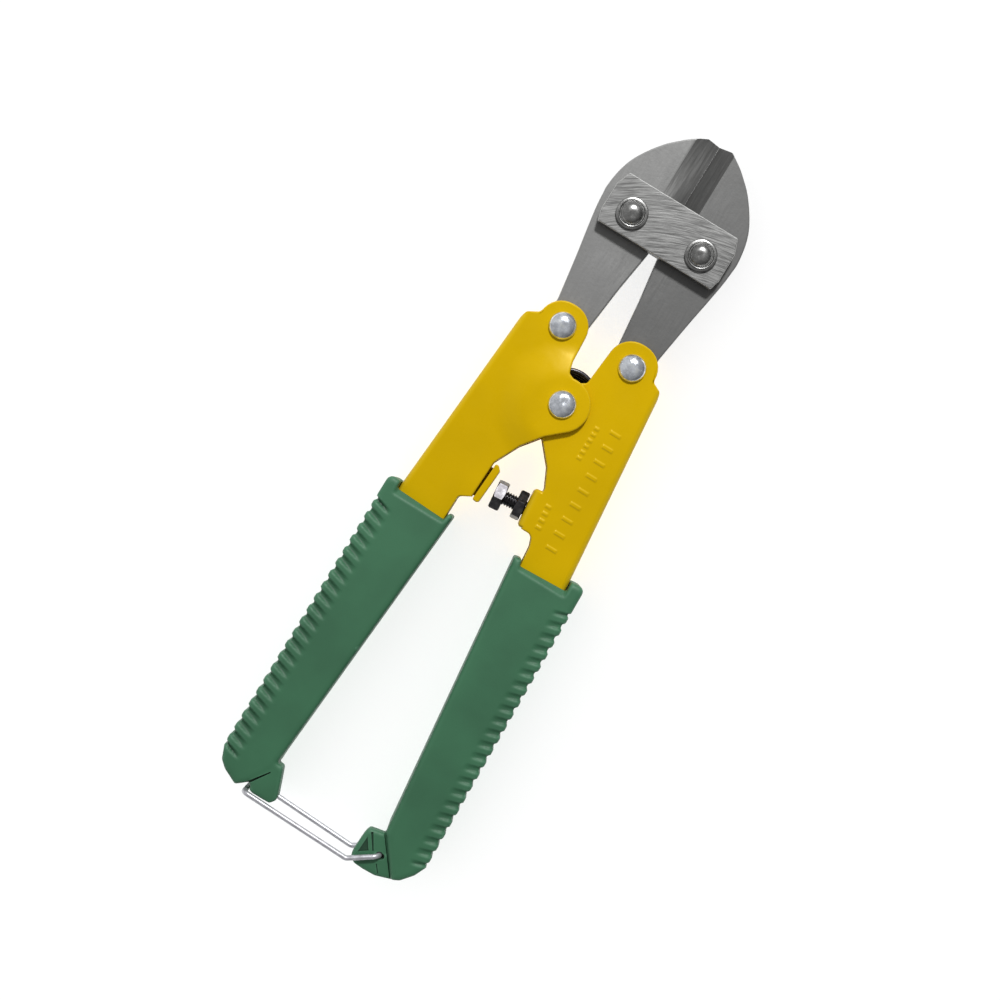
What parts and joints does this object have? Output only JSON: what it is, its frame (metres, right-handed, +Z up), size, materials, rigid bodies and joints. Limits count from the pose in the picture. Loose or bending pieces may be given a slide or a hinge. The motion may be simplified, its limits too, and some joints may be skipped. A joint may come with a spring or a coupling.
{
  "type": "bolt cutters",
  "caption": "Hand bolt cutters with riveted compound jaws, pressed steel handles, an opening spring, a stop screw, ridged plastic grips and a wire locking bail.",
  "frame": {"origin": "centre of the bounding box's bottom, on the surface that the tool lies on", "axes": "+Y runs from the grips to the cutting tips, +X to the handle that carries the stop screw, +Z up through the tool's thickness"},
  "size_m": [0.0591, 0.2018, 0.018],
  "materials": {
    "jaw_steel": "forged, ground on its faces, satin grey",
    "ground_plate": "coarse ground with diagonal scratches",
    "jaw_rivet_steel": "smooth dull steel",
    "zinc_rivet": "bright bluish zinc plate",
    "yellow_paint": "smooth gloss enamel",
    "green_plastic": "moulded, satin",
    "spring_steel": "black tempered wire",
    "black_oxide": "black oxide",
    "bright_wire": "bright galvanised wire"
  },
  "bodies": {
    "right_handle": {"right_handle_channel": "yellow_paint", "right_grip": "green_plastic", "right_tail_rivet": "zinc_rivet", "handle_pivot_rivet": "zinc_rivet", "pivot_bush": "black_oxide", "opening_spring": "spring_steel"},
    "left_handle": {"left_handle_channel": "yellow_paint", "left_grip": "green_plastic", "left_tail_rivet": "zinc_rivet"},
    "right_jaw": {"right_jaw": "jaw_steel"},
    "jaw_link": {"front_link_plate": "ground_plate", "back_link_plate": "ground_plate", "left_jaw_rivet": "jaw_rivet_steel", "right_jaw_rivet": "jaw_rivet_steel", "left_jaw_washer_front": "jaw_rivet_steel", "left_jaw_washer_back": "jaw_rivet_steel", "right_jaw_washer_front": "jaw_rivet_steel", "right_jaw_washer_back": "jaw_rivet_steel"},
    "left_jaw": {"left_jaw": "jaw_steel"},
    "latch_bail": {"latch_bail": "bright_wire"},
    "stop_screw": {"stop_screw": "black_oxide"},
    "stop_nut": {"stop_nut": "black_oxide"}
  },
  "joints": [
    {"name": "handle_pivot", "type": "hinge", "parent": "right_handle", "child": "left_handle", "pos_m": [-0.0018, 0.02401, 0.009], "axis": [0, 0, -1], "range_deg": [0, 22], "deforming": ["opening_spring"]},
    {"name": "right_tail_pivot", "type": "hinge", "parent": "right_handle", "child": "right_jaw", "pos_m": [0.0084, 0.04101, 0.009], "axis": [0, 0, -1], "range_deg": [0, 17]},
    {"name": "right_jaw_pivot", "type": "hinge", "parent": "right_jaw", "child": "jaw_link", "pos_m": [0.00827, 0.07381, 0.009], "axis": [0, 0, 1], "range_deg": [0, 6]},
    {"name": "left_jaw_pivot", "type": "hinge", "parent": "jaw_link", "child": "left_jaw", "pos_m": [-0.01187, 0.07381, 0.009], "axis": [0, 0, 1], "range_deg": [0, 6]},
    {"name": "bail_pivot", "type": "hinge", "parent": "right_handle", "child": "latch_bail", "pos_m": [0.018, -0.09569, 0.009], "axis": [0, 0, 1], "range_deg": [0, 93]},
    {"name": "stop_screw_travel", "type": "slide", "parent": "right_handle", "child": "stop_screw", "axis": [0.9949, 0.1011, 0], "range_m": [-0.0012, 0.002]},
    {"name": "stop_nut_turn", "type": "hinge", "parent": "right_handle", "child": "stop_nut", "pos_m": [0.00389, -0.00274, 0.009], "axis": [0.9949, 0.1011, 0], "continuous": true}
  ],
  "couplings": [
    {"joint": "right_tail_pivot", "follows": "handle_pivot", "ratio": 0.7706},
    {"joint": "right_jaw_pivot", "follows": "handle_pivot", "ratio": 0.2706},
    {"joint": "left_jaw_pivot", "follows": "handle_pivot", "ratio": 0.2706},
    {"joint": "bail_pivot", "follows": "handle_pivot", "ratio": 4.2}
  ]
}
